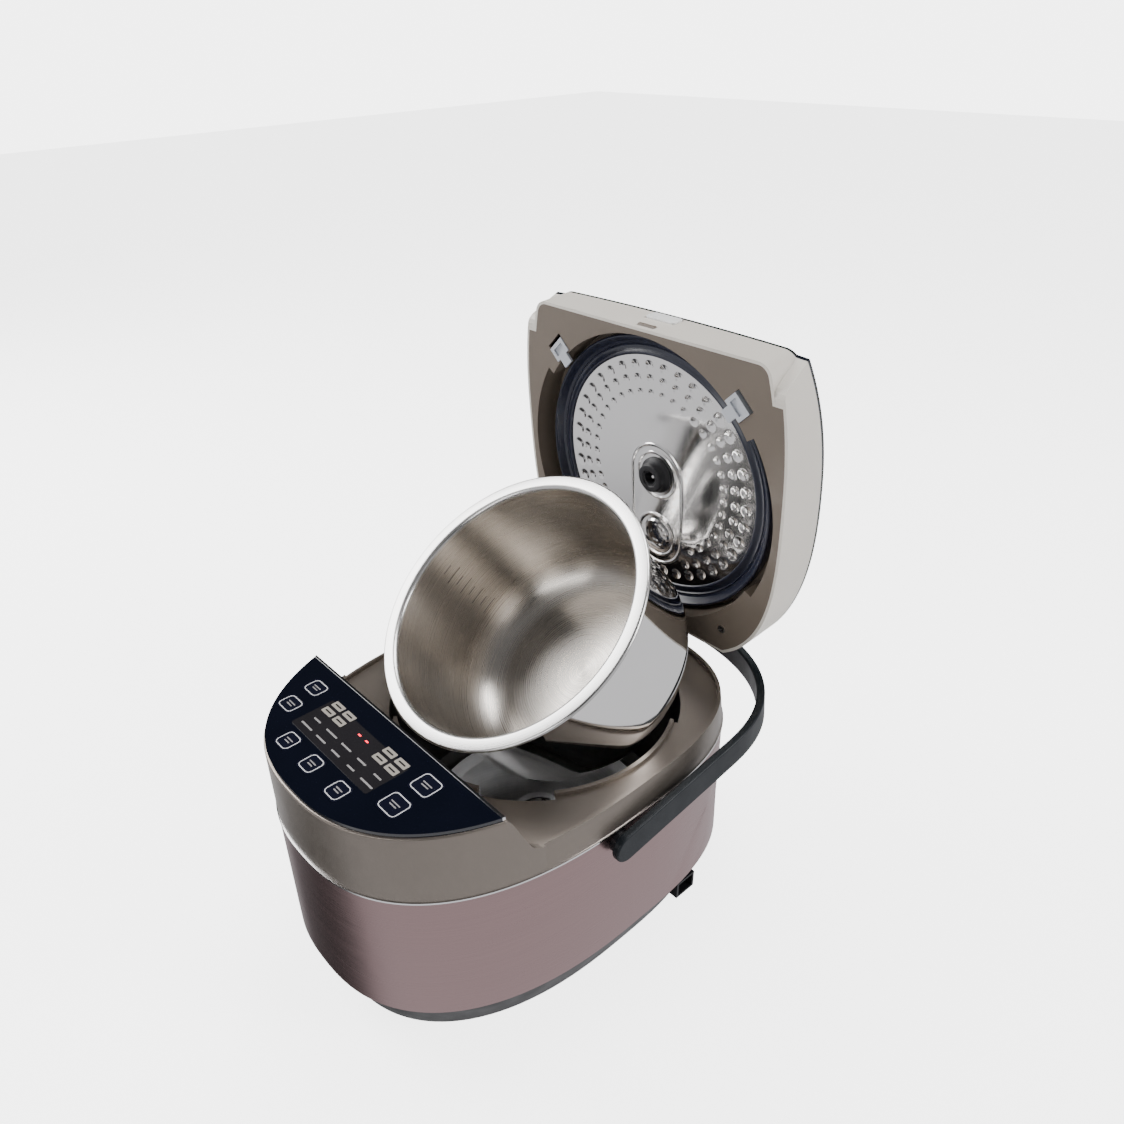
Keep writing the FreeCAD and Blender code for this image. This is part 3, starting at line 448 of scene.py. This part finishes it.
def build_panel():
    """Everything printed on the control panel, with the smoky display and its two lights."""
    for key in KEYS:
        key_frame(key)
    print_on_panel("display_window", -0.0095, -0.1395, 0.098, 0.0345, 0.0015, SMOKE)
    top = PANEL_TOP + PRINT_LIFT
    for cluster, cx in (("left", -0.042), ("right", 0.025)):
        for i, (dx, dy) in enumerate(LABEL_OFFSETS):
            x, y = cx + dx, LABEL_Y + dy
            print_on_panel(
                "label_%s_%d" % (cluster, i), x, y, 0.0118, 0.0058, 0.0007, PRINT_BEIGE, base=top
            )
            print_on_panel(
                "label_%s_mark_%d" % (cluster, i), x, y, 0.0075, 0.0012, 0.0004, SMOKE,
                base=top + PRINT_LIFT,
            )
    for row, y in enumerate(MENU_ROWS):
        for i in range(5):
            x = MENU_START + i * MENU_STEP
            width = 0.0085 + 0.0018 * ((i * 7 + row * 3) % 4)
            name = "menu_mark_%d_%d" % (row, i)
            print_on_panel(name, x, y, width, 0.0014, 0.0005, PRINT_GREY, base=top)
    for i, x in enumerate((-0.0120, -0.0028)):
        print_on_panel("led_%d" % i, x, LED_Y, 0.0034, 0.0013, 0.0005, LED, base=top)


# ------------------------------------------------------------------ inner pot
def build_pot():
    """Spun pot: brushed inside, bright rolled rim, mirror outside."""
    r, t, d, c = POT_R, POT_WALL, POT_DEPTH, POT_CORNER
    lip = RIM_THICK / 2
    flare = 0.004
    outside = [(0, -d)] + [(x, -d) for x in (0.03, 0.06)] + arc(r - c, -d + c, c, -90, 0, 16)
    outside += [(r, -0.08), (r, -0.05), (r, -0.02), (r, -RIM_THICK - 0.0006)]
    rim = [(r + 0.0006, -RIM_THICK)] + arc(RIM_R - lip, -lip, lip, -90, 90, 12)
    rim += [(RIM_R - 0.006, 0)] + arc(r - t + flare, -flare, flare, 90, 180, 8)
    inside = [(r - t, -0.02), (r - t, -0.05), (r - t, -0.08)] + arc(r - c, -d + c, c - t, 0, -90, 16)
    inside += [(x, -d + t) for x in (0.06, 0.04, 0.02, 0.01)] + [(0, -d + t)]
    profile = outside + rim + inside
    marks = (len(outside), len(outside) + len(rim) - 1)

    def finish_of(k):
        if k < marks[0]:
            return 0
        return 1 if k < marks[1] else 2

    pot = lathe("pot_bowl", profile, [MIRROR, RIM_METAL, SPUN], 256, closed=False, index=finish_of)
    pot.matrix_world = POT_POSE
    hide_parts("inner_pot")
    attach(pot, "pot")


def build_level_marks():
    """Etched fill marks up the inside wall: long and short dashes in turn."""
    outer = POT_R - POT_WALL - 0.00002
    inner = outer - 0.00008
    for i in range(8):
        z = MARK_START + MARK_STEP * i
        half = math.radians(4.6 if i % 2 == 0 else 2.6)
        bm = bmesh.new()
        columns = []
        for k in range(9):
            a = math.radians(MARK_ANGLE) - half + 2 * half * k / 8
            corners = ((outer, z), (outer, z + MARK_H), (inner, z + MARK_H), (inner, z))
            columns.append([bm.verts.new((r * math.cos(a), r * math.sin(a), h)) for r, h in corners])
        for a, b in zip(columns, columns[1:]):
            for k in range(4):
                bm.faces.new((a[k], a[(k + 1) % 4], b[(k + 1) % 4], b[k]))
        bm.faces.new(columns[0])
        bm.faces.new(columns[-1][::-1])
        mark = finish_mesh("level_mark_%d" % i, bm, ETCHED)
        mark.matrix_world = POT_POSE
        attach(mark, "pot")


# ------------------------------------------------------------------ lid inner side
def pill_distance(x, y):
    """Distance from the line that joins the knob to the steam cover."""
    return math.hypot(x, y - min(max(y, 0.0), VENT_Y - POT_Y))


def dimple_height(x, y):
    """How far the steam plate is pressed in, in metres, at a point about the plate's centre."""
    radius, angle = math.hypot(x, y), math.atan2(y, x)
    nearest = round(angle / DIMPLE_STEP) * DIMPLE_STEP
    for ring_r, size, deep in DIMPLE_RINGS:
        cx, cy = ring_r * math.cos(nearest), ring_r * math.sin(nearest)
        gap = math.hypot(x - cx, y - cy)
        if gap < size and pill_distance(cx, cy) > PILL_R + size:
            return deep * (0.5 + 0.5 * math.cos(math.pi * gap / size)) ** 0.7
    return 0.0


def ridge(distance, width, height):
    """Rounded pressed line."""
    return height * math.exp(-((distance / width) ** 2))


def emboss_height(x, y):
    """Pressed outlines: a pill round the knob and the steam cover, and a ring round each."""
    high = ridge(pill_distance(x, y) - PILL_R, 0.0009, 0.0009)
    high += ridge(math.hypot(x, y) - 0.0195, 0.0009, 0.0008)
    high += ridge(math.hypot(x, y - VENT_Y + POT_Y) - 0.0188, 0.0009, 0.0009)
    return high


def build_steam_plate():
    """Pressed steam plate: three rings of dimples and the raised outlines, with a plain back."""
    bm = bmesh.new()
    rings, turns = 230, 608
    inner = 0.009
    face = []
    for k in range(rings + 1):
        r = inner + (PLATE_R - inner) * k / rings
        row = []
        for i in range(turns):
            a = 2 * math.pi * i / turns
            x, y = r * math.cos(a), r * math.sin(a)
            z = dimple_height(x, y) - emboss_height(x, y)
            row.append(bm.verts.new((x, y, z)))
        face.append(row)
    back = [bm.verts.new((v.co.x, v.co.y, 0.0018)) for v in face[-1]]
    back_in = [bm.verts.new((v.co.x, v.co.y, 0.0018)) for v in face[0]]
    for a, b in zip(face, face[1:]):
        for i in range(turns):
            j = (i + 1) % turns
            bm.faces.new((a[i], b[i], b[j], a[j]))
    for i in range(turns):
        j = (i + 1) % turns
        bm.faces.new((face[-1][i], back[i], back[j], face[-1][j]))
        bm.faces.new((back[i], back_in[i], back_in[j], back[j]))
        bm.faces.new((back_in[i], face[0][i], face[0][j], back_in[j]))
    plate = finish_mesh("steam_plate", bm, PRESSED, 60)
    plate.matrix_world = LID_POSE @ Matrix.Translation((0, POT_Y, PLATE_FACE))
    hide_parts("inner_lid_plate")
    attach(plate, "lid")


def lid_lathe(name, profile, y, material, replaces=None, body="lid", closed=True):
    """Turned piece of the lid about the upright line at y, drawn with the lid shut."""
    obj = lathe(name, profile, material, closed=closed)
    obj.matrix_world = LID_POSE @ Matrix.Translation((0, y, 0))
    if replaces:
        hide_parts(replaces)
    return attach(obj, body)


def build_seal():
    """Wide silicone ring: rounded outer lip, shallow trough with two ribs, lip over the plate."""
    r0, r1, f = PLATE_R + 0.0004, SEAL_R, PLATE_FACE
    profile = [(r0, f + 0.0055), (r0, f)]
    profile += arc(r0 + 0.0014, f - 0.0002, 0.0014, 180, 290, 6)
    profile += [(r0 + 0.0034, f - 0.0006), (r0 + 0.0050, f + 0.0002)]
    profile += [(r0 + 0.0066, f + 0.0002), (r0 + 0.0074, f - 0.0006), (r0 + 0.0082, f + 0.0001)]
    profile += [(r0 + 0.0104, f - 0.0006), (r0 + 0.0124, f - 0.0036)]
    profile += arc(r1 - 0.0013, f - 0.0049, 0.0013, 215, 360, 8)
    profile += [(r1, f + 0.0030), (r1 - 0.004, f + 0.0055)]
    lid_lathe("seal_band", profile, POT_Y, SILICONE, "seal_ring")


def build_knob():
    """Soft turned knob on the steam plate, with a cupped end round a bright pin."""
    f = PLATE_FACE
    profile = [(0.0040, f + 0.006), (0.0088, f + 0.006), (0.0088, f)]
    profile += [(0.0146, f)] + arc(0.0142, f - 0.0012, 0.0008, 60, -40, 4)
    profile += [(0.0132, f - 0.0030), (0.0122, f - 0.0042), (0.0119, f - 0.0068)]
    profile += arc(0.0101, f - 0.0072, 0.0018, 0, -90, 5)
    profile += [(0.0072, f - 0.0090), (0.0066, f - 0.0082)]
    profile += [(0.0052, f - 0.0078), (0.0044, f - 0.0050)]
    lid_lathe("plate_knob_soft", profile, POT_Y, RUBBER, "plate_knob")
    pin = [(0, f - 0.0045), (0.0012, f - 0.0045), (0.0020, f - 0.0036)]
    pin += [(0.0020, f + 0.004), (0, f + 0.004)]
    lid_lathe("plate_pin", pin, POT_Y, MIRROR, closed=False)


# ------------------------------------------------------------------ stage, light and camera
# Brightness of the studio from the horizon up to straight overhead.
STUDIO_SHADES = ((0.0, 0.85), (0.15, 0.80), (0.40, 0.50), (0.70, 0.26), (1.0, 0.20))
# Dark cards: direction, then the cosines where each begins and where it is full.
DARK_CARDS = (
    ((-0.64, 0.54, 0.55), 0.72, 0.90),
    ((0.50, -0.85, 0.12), 0.66, 0.97),
    ((-0.46, -0.36, -0.81), 0.89, 0.985),
)
CARD_SHADE = 0.06
FLOOR_GLOW = 3.6
BACKDROP_GLOW = 5.0
CAMERA_AT = (0.4395, -0.3451, 0.6446)
CAMERA_HEADING, CAMERA_HEIGHT, CAMERA_ROLL = 49.5, 33.1, -1.8


def area(name, size, power, where, aim, colour=(1, 1, 1)):
    light = bpy.data.lights.new(name, "AREA")
    light.shape = "RECTANGLE"
    light.size, light.size_y = size
    light.energy = power
    light.color = colour
    obj = bpy.data.objects.new(name, light)
    obj.location = where
    obj.rotation_euler = (Vector(aim) - Vector(where)).to_track_quat("-Z", "Y").to_euler()
    bpy.context.scene.collection.objects.link(obj)


def darker_towards(tree, coord, colour, direction, edge, full):
    """Dark card in the studio: the sky falls off from edge to full, as cosines from direction."""
    dot = tree.nodes.new("ShaderNodeVectorMath")
    dot.operation = "DOT_PRODUCT"
    dot.inputs[1].default_value = Vector(direction).normalized()
    tree.links.new(coord.outputs["Generated"], dot.inputs[0])
    fall = tree.nodes.new("ShaderNodeMapRange")
    fall.interpolation_type = "SMOOTHSTEP"
    fall.inputs["From Min"].default_value = edge
    fall.inputs["From Max"].default_value = full
    fall.inputs["To Min"].default_value = 1.0
    fall.inputs["To Max"].default_value = CARD_SHADE
    tree.links.new(dot.outputs["Value"], fall.inputs["Value"])
    scaled = tree.nodes.new("ShaderNodeVectorMath")
    scaled.operation = "SCALE"
    tree.links.new(colour, scaled.inputs[0])
    tree.links.new(fall.outputs["Result"], scaled.inputs["Scale"])
    return scaled.outputs["Vector"]


def build_floor():
    """Pale paper that reads as near white to the camera and lets mirrors see the studio below."""
    bm = bmesh.new()
    bmesh.ops.create_grid(bm, x_segments=2, y_segments=2, size=6.0)
    paper = Shader("paper_floor", (0.88, 0.88, 0.88), 0.7)
    paper.bump(paper.noise(300.0), 0.02, 0.0002)
    lit = paper.tree.nodes.new("ShaderNodeEmission")
    lit.inputs["Color"].default_value = (1, 1, 1, 1)
    lit.inputs["Strength"].default_value = FLOOR_GLOW
    clear = paper.tree.nodes.new("ShaderNodeBsdfTransparent")
    path = paper.tree.nodes.new("ShaderNodeLightPath")
    both = paper.tree.nodes.new("ShaderNodeAddShader")
    paper.link(paper.bsdf.outputs["BSDF"], both.inputs[0])
    paper.link(lit.outputs["Emission"], both.inputs[1])
    surface = paper.bsdf.outputs["BSDF"]
    for ray, shader in (("Is Camera Ray", both), ("Is Glossy Ray", clear)):
        pick = paper.tree.nodes.new("ShaderNodeMixShader")
        paper.link(path.outputs[ray], pick.inputs["Fac"])
        paper.link(surface, pick.inputs[1])
        paper.link(shader.outputs[0], pick.inputs[2])
        surface = pick.outputs["Shader"]
    paper.link(surface, paper.tree.nodes["Material Output"].inputs["Surface"])
    floor = finish_mesh("floor", bm, paper.mat)


def build_studio():
    """Soft surroundings: bright near the horizon, darker overhead, plain white behind."""
    world = bpy.data.worlds.new("studio")
    bpy.context.scene.world = world
    world.use_nodes = True
    tree = world.node_tree
    coord = tree.nodes.new("ShaderNodeTexCoord")
    split = tree.nodes.new("ShaderNodeSeparateXYZ")
    tree.links.new(coord.outputs["Generated"], split.inputs["Vector"])
    ramp = tree.nodes.new("ShaderNodeValToRGB")
    while len(ramp.color_ramp.elements) < len(STUDIO_SHADES):
        ramp.color_ramp.elements.new(0.5)
    for element, (place, shade) in zip(ramp.color_ramp.elements, STUDIO_SHADES):
        element.position = place
        element.color = (shade, shade, shade * 1.03, 1)
    tree.links.new(split.outputs["Z"], ramp.inputs["Fac"])
    shade = ramp.outputs["Color"]
    for direction, edge, full in DARK_CARDS:
        shade = darker_towards(tree, coord, shade, direction, edge, full)
    tree.links.new(shade, tree.nodes["Background"].inputs["Color"])
    tree.nodes["Background"].inputs["Strength"].default_value = 1.0
    white = tree.nodes.new("ShaderNodeBackground")
    white.inputs["Color"].default_value = (1, 1, 1, 1)
    white.inputs["Strength"].default_value = BACKDROP_GLOW
    path = tree.nodes.new("ShaderNodeLightPath")
    mix = tree.nodes.new("ShaderNodeMixShader")
    tree.links.new(path.outputs["Is Camera Ray"], mix.inputs["Fac"])
    tree.links.new(tree.nodes["Background"].outputs["Background"], mix.inputs[1])
    tree.links.new(white.outputs["Background"], mix.inputs[2])
    tree.links.new(mix.outputs["Shader"], tree.nodes["World Output"].inputs["Surface"])


def build_lights():
    area("key_left", (0.9, 1.4), 40, (-1.5, -0.6, 1.3), (0, 0, 0.2))
    area("key_right", (0.5, 1.5), 26, (1.5, 0.9, 1.0), (0, 0, 0.25))
    area("front_fill", (1.6, 0.5), 12, (0.5, -1.9, 0.7), (0, 0, 0.15))
    area("top", (0.8, 0.8), 22, (-0.2, 0.5, 1.9), (0, 0, 0.2))


def build_camera():
    """Camera at the viewing angle: heading, height and a small roll, in degrees."""
    angles = (CAMERA_HEADING, CAMERA_HEIGHT, CAMERA_ROLL)
    heading, height, roll = (math.radians(a) for a in angles)
    back = Vector(
        (math.sin(heading) * math.cos(height), -math.cos(heading) * math.cos(height), math.sin(height))
    )
    right = Vector((math.cos(heading), math.sin(heading), 0))
    up = back.cross(right)
    right_rolled = math.cos(roll) * right + math.sin(roll) * up
    up_rolled = -math.sin(roll) * right + math.cos(roll) * up
    pose = Matrix((right_rolled, up_rolled, back)).transposed().to_4x4()
    pose.translation = CAMERA_AT
    camera = bpy.data.cameras.new("camera")
    camera.sensor_width = 36.0
    camera.lens = 29.18
    camera.shift_x = 0.0202
    camera.shift_y = 0.0325
    camera.clip_start = 0.01
    obj = bpy.data.objects.new("camera", camera)
    obj.matrix_world = pose
    bpy.context.scene.collection.objects.link(obj)
    bpy.context.scene.camera = obj


build_panel()
build_pot()
build_level_marks()
build_steam_plate()
build_seal()
build_knob()
build_floor()
build_studio()
build_lights()
build_camera()
